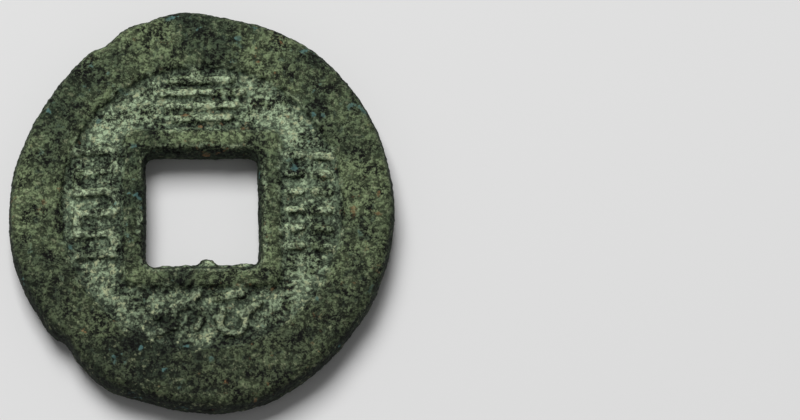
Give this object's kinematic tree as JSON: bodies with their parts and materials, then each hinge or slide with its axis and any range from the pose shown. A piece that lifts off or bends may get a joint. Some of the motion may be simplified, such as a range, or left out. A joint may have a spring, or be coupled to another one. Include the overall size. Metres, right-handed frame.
{
  "type": "cash coin",
  "caption": "Worn cast bronze cash coin with a square hole, wide rims, sunken fields and low relief on both faces",
  "frame": {"origin": "centre of the bounding box in X and Y, on the plane of the reverse rim, so the coin lies on z = 0 with its obverse up", "axes": "+Z out of the obverse face, +Y to the top of the obverse where the sprue stub is, +X to the right of the obverse"},
  "size_m": [0.02, 0.0216, 0.0023],
  "materials": {
    "patinated_bronze": "cast bronze under a dark olive patina, worn smooth on the rims, with pale green deposits in the hollows"
  },
  "bodies": {
    "root": {"coin": "patinated_bronze"}
  },
  "joints": []
}
